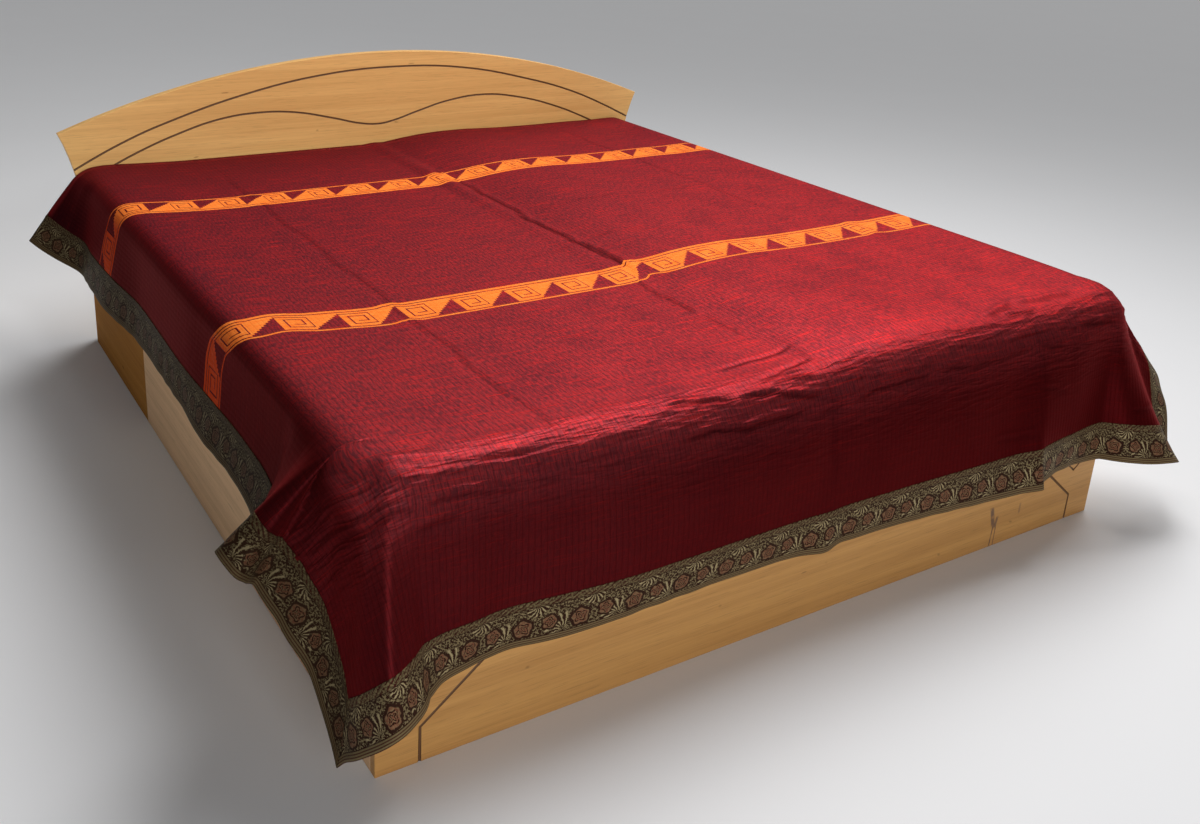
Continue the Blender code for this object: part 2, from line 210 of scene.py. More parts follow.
# (name, kind, place, aims at, size or angle, strength)
LIGHTS = (
    ("skylight", "SUN", (6.2, 3.4, 7.4), (0.0, 0.0, 0.4), math.radians(36), 1.42),
    ("window", "AREA", (1.1, 0.1, 3.4), (-0.1, -0.3, 0.5), 2.0, 77),
    ("front fill", "AREA", (-1.7, -5.0, 1.6), (-0.3, -0.8, 0.3), 2.2, 84),
    ("head lamp", "SPOT", (-0.4, -3.6, 2.7), (-0.1, 1.0, 0.68), math.radians(34), 250),
)
for name, kind, at, aim, spread, strength in LIGHTS:
    lamp = bpy.data.lights.new(name, kind)
    lamp.energy = strength
    if kind == "SUN":
        lamp.angle = spread
    elif kind == "SPOT":
        lamp.spot_size, lamp.spot_blend, lamp.shadow_soft_size = spread, 1.0, 0.25
    else:
        lamp.size = spread
    obj = bpy.data.objects.new(name, lamp)
    obj.location = at
    obj.rotation_euler = (Vector(aim) - Vector(at)).to_track_quat("-Z", "Y").to_euler()
    scene.collection.objects.link(obj)

forward = Vector((
    math.sin(CAMERA_YAW) * math.cos(CAMERA_PITCH),
    math.cos(CAMERA_YAW) * math.cos(CAMERA_PITCH),
    -math.sin(CAMERA_PITCH),
))
level_right = Vector((math.cos(CAMERA_YAW), -math.sin(CAMERA_YAW), 0))
level_up = level_right.cross(forward)
right = math.cos(CAMERA_ROLL) * level_right + math.sin(CAMERA_ROLL) * level_up
up = -math.sin(CAMERA_ROLL) * level_right + math.cos(CAMERA_ROLL) * level_up
camera_data = bpy.data.cameras.new("camera")
camera_data.sensor_width, camera_data.lens = SENSOR_WIDTH, CAMERA_LENS
camera_data.shift_x, camera_data.shift_y = CAMERA_SHIFT
camera = bpy.data.objects.new("camera", camera_data)
facing = Matrix((right, up, -forward)).transposed().to_4x4()
camera.matrix_world = Matrix.Translation(CAMERA_PLACE) @ facing
scene.collection.objects.link(camera)
scene.camera = camera


# --- Bed box and headboard ---
# Boards of veneered and lacquered particle board with eased edges. Round grooves, stained dark,
# draw corners on the foot panel and arches on the headboard. The rear half of each side is
# honey like the foot, and the front half is a paler beige.
EDGE_ROUNDING = 0.0015
GROOVE_DEPTH = 0.0030
SAME_POINT, SAME_PLANE = 1e-5, math.radians(0.4)
SHARP_EDGE = math.radians(30)
# (x, z) along each groove on the front face
FOOT_GROOVES = (
    ((-0.835, -0.02), (-0.835, 0.07), (-0.727, 0.156), (-0.665, 0.205), (-0.60, 0.215)),
    ((0.835, -0.02), (0.835, 0.064), (0.748, 0.135), (0.665, 0.203), (0.60, 0.215)),
    ((0.868, 0.155), (0.835, 0.128), (0.800, 0.155), (0.835, 0.182), (0.868, 0.155)),
)
HEAD_GROOVES = (
    ((-0.975, 0.507), (-0.937, 0.529), (-0.78, 0.605), (-0.66, 0.649), (-0.45, 0.710),
     (-0.20, 0.757), (0.05, 0.772), (0.30, 0.757), (0.55, 0.706), (0.72, 0.657), (0.854, 0.603),
     (0.99, 0.539)),
    ((-0.955, 0.467), (-0.867, 0.513), (-0.763, 0.563), (-0.642, 0.609), (-0.52, 0.643),
     (-0.40, 0.655), (-0.28, 0.648), (-0.16, 0.622), (-0.06, 0.597), (0.0, 0.592),
     (0.047, 0.599), (0.133, 0.623), (0.24, 0.65), (0.38, 0.663), (0.52, 0.645), (0.65, 0.61),
     (0.78, 0.56), (0.96, 0.475)),
)


def mesh_of(obj):
    """The mesh that a curve, or an object with modifiers, comes to."""
    bpy.context.view_layer.update()
    graph = bpy.context.evaluated_depsgraph_get()
    return bpy.data.meshes.new_from_object(obj.evaluated_get(graph))


def groove_cutter(line, face_y, smooth):
    """A round bar along a groove, centred on the board's front face."""
    curve = bpy.data.curves.new("groove bar", "CURVE")
    curve.dimensions, curve.bevel_depth, curve.bevel_resolution = "3D", GROOVE_DEPTH, 2
    curve.use_fill_caps, curve.resolution_u = True, 5 if smooth else 1
    closed = line[0] == line[-1]
    places = line[:-1] if closed else line
    spline = curve.splines.new("BEZIER")
    spline.bezier_points.add(len(places) - 1)
    for point, (x, z) in zip(spline.bezier_points, places):
        point.co = (x, face_y, z)
        point.handle_left_type = point.handle_right_type = "AUTO" if smooth else "VECTOR"
    spline.use_cyclic_u = closed
    curve.materials.append(groove_stain)
    bar = bpy.data.objects.new("groove bar", curve)
    scene.collection.objects.link(bar)
    cutter = bpy.data.objects.new("groove cutter", mesh_of(bar))
    bpy.data.objects.remove(bar)
    scene.collection.objects.link(cutter)
    return cutter


def cad_copy(name, node, material, flat_faces=False):
    """A copy of the CAD piece with its points merged and, on a board, its flat faces whole."""
    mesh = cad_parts[node].data.copy()
    bm = bmesh.new()
    bm.from_mesh(mesh)
    bmesh.ops.remove_doubles(bm, verts=bm.verts, dist=SAME_POINT)
    if flat_faces:
        bmesh.ops.dissolve_limit(bm, angle_limit=SAME_PLANE, verts=bm.verts, edges=bm.edges)
    bm.to_mesh(mesh)
    bm.free()
    mesh.materials.clear()
    mesh.materials.append(material)
    obj = bpy.data.objects.new(name, mesh)
    scene.collection.objects.link(obj)
    return obj


def board(node, material, grooves=(), smooth=False):
    """The CAD board with eased edges and, where it has them, its grooves."""
    obj = cad_copy(node + "_finished", node, material, flat_faces=True)
    eased = obj.modifiers.new("eased edges", "BEVEL")
    eased.width, eased.segments = EDGE_ROUNDING, 2
    eased.limit_method, eased.angle_limit = "ANGLE", SHARP_EDGE
    if grooves:
        cutters = [groove_cutter(line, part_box(node)[0].y, smooth) for line in grooves]
        for cutter in cutters:
            cut = obj.modifiers.new("groove", "BOOLEAN")
            cut.operation, cut.solver, cut.object = "DIFFERENCE", "EXACT", cutter
            cut.material_mode = "TRANSFER"
        cut_mesh = mesh_of(obj)
        obj.modifiers.clear()
        obj.data = cut_mesh
        for cutter in cutters:
            bpy.data.objects.remove(cutter)
    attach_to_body(obj, "root")
    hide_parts(node)


def veneer(name, colours, along, gloss=0.28, roughness=0.42, scuffs=()):
    """Lacquered veneer in its light, dark and pore colours. Along is the grain's axis, 0 for x
    and 1 for y."""
    light, dark, pores = colours
    material, shader, wire = finish(name, 0.5, Specular_IOR_Level=gloss)
    place = object_place(wire)

    def grain(lengthwise, crosswise, detail, rough=0.55):
        spots = [lengthwise if axis == along else crosswise for axis in range(3)]
        return speckle(place, spots, detail, rough)

    drift, streaks, lines = grain(0.7, 4.5, 2), grain(0.9, 42, 3, 0.6), grain(2.2, 260, 2)
    dashes, knots = grain(16, 640, 1), grain(26, 70, 0)
    tone = (drift * 0.45 + streaks * 0.50 + lines * 0.28).rise(0.42, 0.84)
    colour = blend(tone, light, dark)
    open_pores = dashes.rise(0.60, 0.72)
    colour = blend(open_pores * 0.30, colour, pores)
    colour = blend(knots.rise(0.84, 0.90) * 0.7, colour, pores)
    if scuffs:
        x, _, z = parts_of(place)
        broken = speckle(place, (150, 1, 60), 2).rise(0.18, 0.50)
        for x0, z0, x1, z1, half, share in scuffs:
            on_line = (z - z0) / (z1 - z0)
            off = abs(x - (on_line * (x1 - x0) + x0)) / half
            mark = off.rise(1.0, 0.3) * on_line.rise(0.0, 0.15) * on_line.rise(1.05, 0.80) * broken
            colour = blend(mark * share, colour, SCUFF_GREY)
    attach(shader, "Base Color", colour)
    attach(shader, "Roughness", streaks.across(roughness - 0.06, roughness + 0.08))
    emboss(shader, 1 - open_pores, 0.00012, 0.5)
    return material


# Rubbed grey marks on the foot panel: (x, z) at one end, (x, z) at the other, half width,
# and how far the mark covers the veneer
SCUFF_GREY = (0.085, 0.050, 0.052)
FOOT_SCUFFS = (
    (0.558, 0.105, 0.574, 0.048, 0.0085, 0.80),
    (0.584, 0.076, 0.578, 0.044, 0.0060, 0.70),
    (0.574, 0.060, 0.570, -0.012, 0.0026, 0.90),
    (0.583, 0.055, 0.583, -0.012, 0.0022, 0.75),
    (0.658, 0.090, 0.658, 0.060, 0.0045, 0.40),
)

# Light, dark and pore colour of each veneer. The headboard's honey is lighter than the foot's
# as painted light, and the sides' honey darker as painted shade.
HONEY_FOOT = ((0.64, 0.338, 0.105), (0.47, 0.228, 0.065), (0.20, 0.095, 0.03))
HONEY_HEAD_LIT = ((0.92, 0.55, 0.195), (0.73, 0.40, 0.13), (0.34, 0.16, 0.05))
HONEY_SIDE_SHADED = ((0.52, 0.235, 0.050), (0.40, 0.165, 0.034), (0.20, 0.09, 0.025))
BEIGE_SIDE = ((0.95, 0.64, 0.38), (0.76, 0.48, 0.27), (0.42, 0.26, 0.14))

groove_stain, _, _ = finish("groove stain", 0.6, Base_Color=(0.15, 0.065, 0.022, 1))
honey = veneer("honey veneer", HONEY_FOOT, along=0, scuffs=FOOT_SCUFFS)
honey_head_lit = veneer("honey veneer head lit", HONEY_HEAD_LIT, along=0)
honey_side_shaded = veneer("honey veneer side shaded", HONEY_SIDE_SHADED, along=1, gloss=0.05, roughness=0.8)
beige_side = veneer("beige veneer", BEIGE_SIDE, along=1, gloss=0.05, roughness=0.8)
board("base_board", honey_side_shaded)
board("top_boards", honey_side_shaded)
board("foot_panel", honey, FOOT_GROOVES)
board("headboard", honey_head_lit, HEAD_GROOVES, smooth=True)
for side in ("left", "right"):
    board(f"side_panel_{side}_front", beige_side)
    board(f"side_panel_{side}_rear", honey_side_shaded)


# --- Mattress ---
# A foam slab in striped cotton ticking, with a corded seam just below its rounded upper edge.
# It lies on the box's top boards and the cloth covers it.
STRIPE_SPACING, STRIPE_HALF, YARN = 0.05, 0.006, 0.0012
STRIPE_BLUE, COTTON_WHITE, YARN_GREY = (0.28, 0.33, 0.45), (0.72, 0.70, 0.65), (0.45, 0.44, 0.42)
SEAM_HEIGHT, CORD, CORNER, CORNER_STEPS = 0.104, 0.0028, 0.10, 6

ticking, ticking_shader, wire = finish("mattress ticking", 0.85, Sheen_Weight=0.1)
across_bed, along_bed, _ = parts_of(object_place(wire))
stripe = abs(across_bed.repeat(STRIPE_SPACING)).rise(STRIPE_HALF, STRIPE_HALF + 0.0008)
yarn = (across_bed.wave(YARN) * along_bed.wave(YARN)).across(0.5, 0.75)
cotton = blend(stripe, STRIPE_BLUE, COTTON_WHITE)
attach(ticking_shader, "Base Color", blend(yarn * 0.25, cotton, YARN_GREY))
emboss(ticking_shader, yarn, 0.0003, 0.5)
mattress = cad_copy("mattress_slab", "mattress", ticking)
low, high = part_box("mattress")
seam_line = bpy.data.curves.new("mattress_seam", "CURVE")
seam_line.dimensions, seam_line.bevel_depth, seam_line.bevel_resolution = "3D", CORD, 2
corners = []
for sx, sy, start in ((1, 1, 0), (-1, 1, 90), (-1, -1, 180), (1, -1, 270)):
    centre = Vector((
        (low.x + high.x) / 2 + sx * ((high.x - low.x) / 2 - CORNER),
        (low.y + high.y) / 2 + sy * ((high.y - low.y) / 2 - CORNER),
    ))
    for step in range(CORNER_STEPS + 1):
        turn = math.radians(start + 90 * step / CORNER_STEPS)
        corners.append((centre.x + CORNER * math.cos(turn), centre.y + CORNER * math.sin(turn)))
spline = seam_line.splines.new("POLY")
spline.points.add(len(corners) - 1)
for point, (x, y) in zip(spline.points, corners):
    point.co = (x, y, low.z + SEAM_HEIGHT, 1)
spline.use_cyclic_u = True
seam_line.materials.append(ticking)
mattress_seam = bpy.data.objects.new("mattress_seam", seam_line)
scene.collection.objects.link(mattress_seam)
for obj in (mattress, mattress_seam):
    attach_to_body(obj, "root")
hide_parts("mattress")


# --- Quilted panel ---
# Shot silk satin on thin wadding, machine quilted in lengthwise channels, with two woven
# bands across it. It falls over the mattress by its own weight, so it is laid out flat
# first, u across and v along the bed, and each edge is turned down along ribs.
PANEL_THICKNESS = 0.003
BORDER_WIDTH = 0.085
LEFT_REACH, FOOT_REACH, RIGHT_REACH = 0.308, 0.465, 0.318
TURN_LEFT, TURN_RIGHT, TURN_FOOT, HEAD_EDGE = -0.855, 0.875, -0.88, 1.002
CORNER_SPAN = 0.6
# Heights of the box and the mattress, the fit between them and the cloth's clearance: their
# sum and half the cloth make TOP, the mid surface of the cloth lying flat
BOX_HEIGHT, FIT, MATTRESS_HEIGHT, REST_GAP = 0.36, 0.0004, 0.1662, 0.0003
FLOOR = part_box("base_board")[0].z
TOP = FLOOR + BOX_HEIGHT + FIT + MATTRESS_HEIGHT + REST_GAP + PANEL_THICKNESS / 2
# Steps in which the turn along a rib is summed
STEPS = 40

# A rib is the line that the cloth follows from a turning line to the hem. It runs level for
# "start", turns down until "end", then goes from the angle "lean" to the angle "hang" at the
# hem, both off the vertical. "swing" turns it sideways from straight out, +X toward +Y.
# (side, y, corner angle or x, start, end, lean, hang, swing), round from the head-left end
RIBS = (
    ("left", 1.002, 0.03, 0.11, 41, 37, 4),
    ("left", 0.91, 0.03, 0.11, 24, 24, 0),
    ("left", 0.81, 0.03, 0.1, 13, 12, -5),
    ("left", 0.69, 0.03, 0.1, 17, 8, -4),
    ("left", 0.49, 0.03, 0.1, 11, 15, -3),
    ("left", 0.29, 0.03, 0.1, 3, 12, -3),
    ("left", 0.09, 0.03, 0.1, 6, 8, -2),
    ("left", -0.11, 0.03, 0.1, 9, 6, -1),
    ("left", -0.29, 0.03, 0.1, 2, 20, -1),
    ("left", -0.44, 0.03, 0.1, 1, 17, -1),
    ("left", -0.57, 0.03, 0.1, 1, 21, -1),
    ("left", -0.67, 0.03, 0.1, 4, 28, -1),
    ("left", -0.75, 0.03, 0.1, 22, 34, -6),
    ("left", -0.81, 0.03, 0.1, 34, 42, -9),
    ("left", -0.85, 0.03, 0.1, 46, 45, -11),
    ("left corner", 0, 0.03, 0.09, 56, 41, -11),
    ("left corner", 6, 0.03, 0.09, 50, 36, -11),
    ("left corner", 13, 0.03, 0.1, 37, 33, -20),
    ("left corner", 22, 0.03, 0.11, 22, 32, -36),
    ("left corner", 33, 0.03, 0.12, 7, 29, -32),
    ("left corner", 45, 0.03, 0.12, 3, 18, -23),
    ("left corner", 57.4, 0.03, 0.13, 9, 15, -9),
    ("left corner", 66, 0.03, 0.14, 16, 25, -5),
    ("left corner", 74, 0.04, 0.155, 17, 38, -3),
    ("left corner", 82, 0.045, 0.17, 10, 31, 0),
    ("left corner", 90, 0.05, 0.18, 5, 17, 2),
    ("foot", -0.815, 0.05, 0.18, 6, 4, 2),
    ("foot", -0.765, 0.05, 0.18, 8, -4, 2),
    ("foot", -0.695, 0.05, 0.18, 6, -6, 2),
    ("foot", -0.585, 0.05, 0.18, 10, -5, 1),
    ("foot", -0.415, 0.05, 0.18, 20, -14, 0),
    ("foot", -0.215, 0.05, 0.18, 19, -15, -1),
    ("foot", -0.055, 0.05, 0.18, 16, -11, -2),
    ("foot", 0.01, 0.05, 0.18, 12, -1, -2),
    ("foot", 0.075, 0.05, 0.18, 14, -8, -2),
    ("foot", 0.205, 0.05, 0.18, 15, -7, -2),
    ("foot", 0.385, 0.05, 0.18, 14, 1, -2),
    ("foot", 0.545, 0.05, 0.18, 10, 14, -2),
    ("foot", 0.6, 0.05, 0.18, 14, 17, -3),
    ("foot", 0.63, 0.05, 0.18, 18, 2, -3),
    ("foot", 0.735, 0.05, 0.18, 16, -6, -4),
    ("right corner", 0, 0.05, 0.18, 6, 8, -6),
    ("right corner", 12, 0.05, 0.17, 16, 21, -3),
    ("right corner", 24, 0.05, 0.16, 19, 38, 5),
    ("right corner", 34.3, 0.04, 0.15, 27, 26, 18),
    ("right corner", 48, 0.04, 0.13, 40, 32, 15),
    ("right corner", 62, 0.03, 0.12, 45, 43, 14),
    ("right corner", 76, 0.03, 0.11, 36, 37, 16),
    ("right corner", 90, 0.03, 0.1, 22, 26, 16),
    ("right", -0.79, 0.03, 0.1, 3, 16, 8),
    ("right", -0.65, 0.03, 0.1, 6, 10, 4),
    ("right", -0.41, 0.03, 0.1, 5, 8, 2),
    ("right", 0.19, 0.03, 0.1, 7, 9, 1),
    ("right", 1.002, 0.03, 0.1, 15, 13, 0),
)

# The mattress is uneven, and its right half stands higher: (u, height), and by v: (v, share)
SWELL = (
    (-0.93, 0.0),
    (-0.86, 0.008),
    (-0.75, 0.004),
    (-0.62, 0.0),
    (-0.06, 0.0),
    (0.005, 0.003),
    (0.03, 0.0065),
    (0.08, 0.014),
    (0.155, 0.022),
    (0.225, 0.0255),
    (0.29, 0.026),
    (0.36, 0.0235),
    (0.45, 0.0205),
    (0.57, 0.0195),
    (0.70, 0.0205),
    (0.79, 0.0195),
    (0.84, 0.0205),
    (0.89, 0.0215),
    (0.93, 0.018),
    (0.98, 0.007),
    (1.05, 0.0),
)
SWELL_SHARE = (
    (-1.06, 0.0),
    (-0.97, 0.45),
    (-0.90, 0.82),
    (-0.82, 0.95),
    (-0.66, 1.0),
    (1.002, 0.9),
)

# The fold down the middle stands up as a narrow crest, mostly toward the head: (v, height)
CREST_U, CREST_HALF_WIDTH = -0.028, 0.04
CREST = ((-0.50, 0.0), (-0.36, 0.002), (0.10, 0.003), (0.57, 0.008), (0.80, 0.004), (1.002, 0.003))


def way_round(side, at):
    """Distance round the cloth, from its head-left end, of a place on one side."""
    foot_start = HEAD_EDGE - TURN_FOOT + CORNER_SPAN
    right_start = foot_start + TURN_RIGHT - TURN_LEFT + CORNER_SPAN
    return {
        "left": HEAD_EDGE - at,
        "left corner": HEAD_EDGE - TURN_FOOT + CORNER_SPAN * at / 90,
        "foot": foot_start + at - TURN_LEFT,
        "right corner": right_start - CORNER_SPAN + CORNER_SPAN * at / 90,
        "right": right_start + at - TURN_FOOT,
    }[side]


def through(at, stops, values):
    """A smooth curve through each column of values that never overshoots them."""
    gap = np.diff(stops)
    slope = np.diff(values, axis=0) / gap[:, None]
    before, after = slope[:-1], slope[1:]
    w_before = (2 * gap[1:] + gap[:-1])[:, None]
    w_after = (gap[1:] + 2 * gap[:-1])[:, None]
    turns = before * after <= 0
    safe_before = np.where(turns, 1, before)
    safe_after = np.where(turns, 1, after)
    mean = (w_before + w_after) / (w_before / safe_before + w_after / safe_after)
    tangent = np.vstack([slope[:1], np.where(turns, 0, mean), slope[-1:]])
    i = np.clip(np.searchsorted(stops, at, side="right") - 1, 0, len(stops) - 2)
    h = gap[i][:, None]
    t = ((at - stops[i]) / gap[i])[:, None]
    return (
        (2 * t**3 - 3 * t**2 + 1) * values[i]
        + (t**3 - 2 * t**2 + t) * h * tangent[i]
        + (3 * t**2 - 2 * t**3) * values[i + 1]
        + (t**3 - t**2) * h * tangent[i + 1]
    )


def soft_step(x):
    x = np.clip(x, 0, 1)
    return x * x * (3 - 2 * x)


def by_place(table):
    """A smooth function of place from rows of (place, value, ...)."""
    stops = np.array([row[0] for row in table])
    values = np.array([row[1:] for row in table], float)
    return lambda at: through(np.clip(at, stops[0], stops[-1]), stops, values)


rib = by_place(
    [
        (way_round(side, at), start, end, *np.radians((lean, hang, swing)))
        for side, at, start, end, lean, hang, swing in RIBS
    ]
)
swell_across, swell_along, crest_along = by_place(SWELL), by_place(SWELL_SHARE), by_place(CREST)


def swell(u, v):
    """How far the uneven mattress lifts the cloth."""
    return (swell_across(u) * swell_along(v))[:, 0]


def crest(u, v):
    """How far the middle fold stands up from the mattress."""
    return crest_along(v)[:, 0] * soft_step(1 - np.abs(u - CREST_U) / CREST_HALF_WIDTH)


def drape(u, v):
    """Mid surface of the cloth in space, for arrays of flat places."""
    base_x = np.clip(u, TURN_LEFT, TURN_RIGHT)
    base_y = np.maximum(v, TURN_FOOT)
    across, along = u - base_x, v - base_y
    run = np.hypot(across, along)
    angle = np.degrees(np.arctan2(np.abs(along), np.abs(across)))
    left, right, foot = u < TURN_LEFT, u > TURN_RIGHT, v < TURN_FOOT
    sides = [left & foot, right & foot, left, right]
    place = np.select(
        sides,
        [
            way_round("left corner", angle),
            way_round("right corner", 90 - angle),
            way_round("left", base_y),
            way_round("right", base_y),
        ],
        way_round("foot", base_x),
    )
    start, end, lean, hang, swing = rib(place).T
    straight_out = np.select(sides, [180 + angle, 360 - angle, 180, 360], 270)
    heading = np.radians(straight_out) + swing
    side_reach = np.where(left, LEFT_REACH, RIGHT_REACH)
    to_side = side_reach * run / np.maximum(np.abs(across), 1e-6)
    to_foot = FOOT_REACH * run / np.maximum(np.abs(along), 1e-6)
    hem = np.maximum(np.minimum(to_side, to_foot), end + 0.05)
    s = run[:, None] * (np.arange(STEPS) + 0.5) / STEPS
    turned = soft_step((s - start[:, None]) / (end - start)[:, None])
    past = np.clip((s - end[:, None]) / (hem - end)[:, None], 0, 1)
    dip = turned * (math.pi / 2 - lean[:, None]) + past * (lean - hang)[:, None]
    out = np.cos(dip).mean(axis=1) * run
    down = np.sin(dip).mean(axis=1) * run
    return np.stack(
        [
            base_x + out * np.cos(heading),
            base_y + out * np.sin(heading),
            TOP - down + swell(u, v) + crest(u, v),
        ],
        axis=1,
    )


def cloth_points(u, v, lift=0.0):
    """Points of the cloth for 2D grids of flat places, raised off the mid surface by lift."""
    reach = 0.002
    centre = drape(u.ravel(), v.ravel())
    over = drape(u.ravel() + reach, v.ravel()) - drape(u.ravel() - reach, v.ravel())
    along = drape(u.ravel(), v.ravel() + reach) - drape(u.ravel(), v.ravel() - reach)
    normal = np.cross(over, along)
    normal /= np.linalg.norm(normal, axis=1, keepdims=True)
    return centre + normal * np.ravel(lift)[:, None]


# Creases and crinkles, as lines that stand up from the cloth with a shallow trough on the
# foot side of them: (u, v) at one end, (u, v) at the other, half width, height
CRINKLES = (
    (-1.00, -1.022, -0.84, -1.026, 0.006, 0.0030),
    (-0.85, -1.026, -0.66, -1.036, 0.005, 0.0026),
    (-0.68, -1.036, -0.36, -1.034, 0.005, 0.0012),
    (-0.37, -1.033, -0.03, -1.033, 0.005, 0.0042),
    (-0.03, -1.050, 0.05, -1.036, 0.005, 0.0022),
    (0.05, -1.036, 0.30, -1.033, 0.004, 0.0032),
    (0.27, -1.033, 0.61, -1.033, 0.004, 0.0036),
    (0.60, -1.033, 0.82, -1.053, 0.004, 0.0032),
    (-0.36, -0.966, -0.20, -0.985, 0.006, 0.0034),
    (-0.21, -0.985, 0.01, -1.010, 0.005, 0.0040),
    (-0.19, -0.903, 0.04, -0.870, 0.005, -0.0022),
    (-0.15, -0.961, 0.02, -0.933, 0.005, -0.0026),
    (-0.08, -0.962, 0.00, -0.978, 0.005, -0.0034),
    (0.01, -0.969, 0.16, -0.972, 0.006, -0.0030),
    (0.50, -0.932, 0.63, -0.912, 0.007, 0.0024),
    (0.62, -0.912, 0.83, -0.926, 0.007, 0.0024),
    (0.55, -0.945, 0.65, -0.970, 0.006, 0.0026),
    (0.74, -1.013, 0.90, -1.013, 0.006, 0.0030),
    (0.88, -1.013, 1.02, -1.000, 0.006, 0.0026),
    (0.12, -1.066, 0.30, -1.061, 0.006, 0.0016),
    (0.61, -1.113, 0.71, -1.137, 0.006, 0.0018),
    (0.94, -1.213, 1.05, -1.205, 0.005, 0.0018),
    (0.46, -1.201, 0.61, -1.209, 0.006, 0.0014),
    (-0.86, -1.061, -0.77, -1.060, 0.006, 0.0024),
    (-0.80, -0.968, -0.61, -0.983, 0.006, 0.0020),
    (-0.89, -0.925, -0.77, -0.973, 0.007, 0.0020),
    (-0.585, -1.25, -0.585, 1.00, 0.006, -0.0013),
    (0.605, -1.25, 0.605, -0.30, 0.005, -0.0009),
    (0.605, -0.35, 0.605, 1.00, 0.006, -0.0010),
    (0.006, -1.25, 0.006, -0.80, 0.006, -0.0014),
    (0.010, 0.64, 0.008, 0.28, 0.006, 0.0024),
    (0.014, 0.40, 0.006, 0.06, 0.006, 0.0032),
    (0.004, 0.14, 0.010, -0.14, 0.006, 0.0042),
    (0.014, -0.06, 0.014, -0.42, 0.006, 0.0042),
    (0.026, -0.14, 0.030, -0.36, 0.005, 0.0026),
    (-0.016, -0.42, -0.028, -0.56, 0.005, 0.0022),
    (-0.026, -0.52, -0.016, -0.66, 0.005, 0.0026),
    (-0.020, -0.67, -0.008, -0.80, 0.005, 0.0018),
    (0.02, 0.12, 0.34, 0.118, 0.004, 0.0014),
    (0.30, 0.12, 0.67, 0.125, 0.004, 0.0012),
    (0.057, -0.133, 0.133, -0.149, 0.004, 0.0016),
    (-0.207, -0.205, -0.003, -0.149, 0.004, 0.0014),
    (-0.087, 0.471, -0.039, 0.447, 0.004, 0.0016),
)


def crinkle(u, v):
    """Height of the crinkles at flat places, and how far each place is down in a crease, for the
    painted shade there.
    """
    height, shade_in_crease = np.zeros_like(u), np.zeros_like(u)
    for u0, v0, u1, v1, half, rise in CRINKLES:
        length = math.hypot(u1 - u0, v1 - v0)
        du, dv = (u1 - u0) / length, (v1 - v0) / length
        along = (u - u0) * du + (v - v0) * dv
        # Small quick bends and a slow one, so that no line runs straight
        wander = 0.35 * np.sin(along / (4.1 * half)) + 0.2 * np.sin(along / (1.7 * half))
        wander = wander + 0.9 * np.sin(along / 0.055 + u0 * 40)
        off = ((v - v0) * du - (u - u0) * dv) / half + wander
        fade = max(4 * half, 0.22 * length)
        ends = soft_step(along / fade) * soft_step((length - along) / fade)
        trough = np.exp(-(((off + 1.7) / 1.1) ** 2))
        height += rise * ends * (np.exp(-(off**2)) - 0.45 * trough)
        shade_in_crease = np.maximum(shade_in_crease, ends * trough * min(abs(rise) / 0.004, 1))
    return height, shade_in_crease


# Soft crumpling over the foot edge, in uneven rows that run across the bed:
# (spacing, slant, sway, sway length, height), the tallest first
CRUMPLES = (
    (0.038, 0.10, 0.8, 0.37, 0.0026),
    (0.027, -0.07, 1.0, 0.23, 0.0020),
    (0.018, 0.05, 1.1, 0.145, 0.0011),
)
CRUMPLES_START, CRUMPLES_FADE = -0.925, 0.06
CRUMPLES_MIDDLE, CRUMPLES_SPREAD = -1.01, 0.085


def puff(u, v):
    """Height of the crumpling, strongest just below the line where the cloth turns down, and
    how far each place is in one of its creases, for the painted shade there."""
    begun = soft_step((CRUMPLES_START - v) / CRUMPLES_FADE)
    turning = begun * np.exp(-(((v - CRUMPLES_MIDDLE) / CRUMPLES_SPREAD) ** 2)) + 0.05
    tallest = CRUMPLES[0][-1]
    height, shade_in_crease = np.zeros_like(u), np.zeros_like(u)
    for k, (spacing, slant, sway, sway_length, rise) in enumerate(CRUMPLES):
        phase = 2 * math.pi * (v + slant * u) / spacing
        phase = phase + sway * np.sin(2 * math.pi * u / sway_length + k) + 1.7 * np.sin(u * 5.3 + k)
        ridge = (1 - np.abs(np.sin(phase / 2))) ** 1.6
        broken = 2 * math.pi * u / (sway_length * 1.3) + 9 * np.sin(v * 31 + k) + 2 * k
        patch = 0.5 + 0.5 * np.sin(broken)
        height += rise * (ridge - 0.3) * patch
        furrow = np.exp(-((np.sin(phase / 2 + 0.45) / 0.16) ** 2))
        shade_in_crease = np.maximum(shade_in_crease, furrow * patch**2 * rise / tallest)
    return height * turning, shade_in_crease * turning


SEAM_LEFT = TURN_LEFT - LEFT_REACH + BORDER_WIDTH
SEAM_RIGHT = TURN_RIGHT + RIGHT_REACH - BORDER_WIDTH
SEAM_FOOT = TURN_FOOT - FOOT_REACH + BORDER_WIDTH


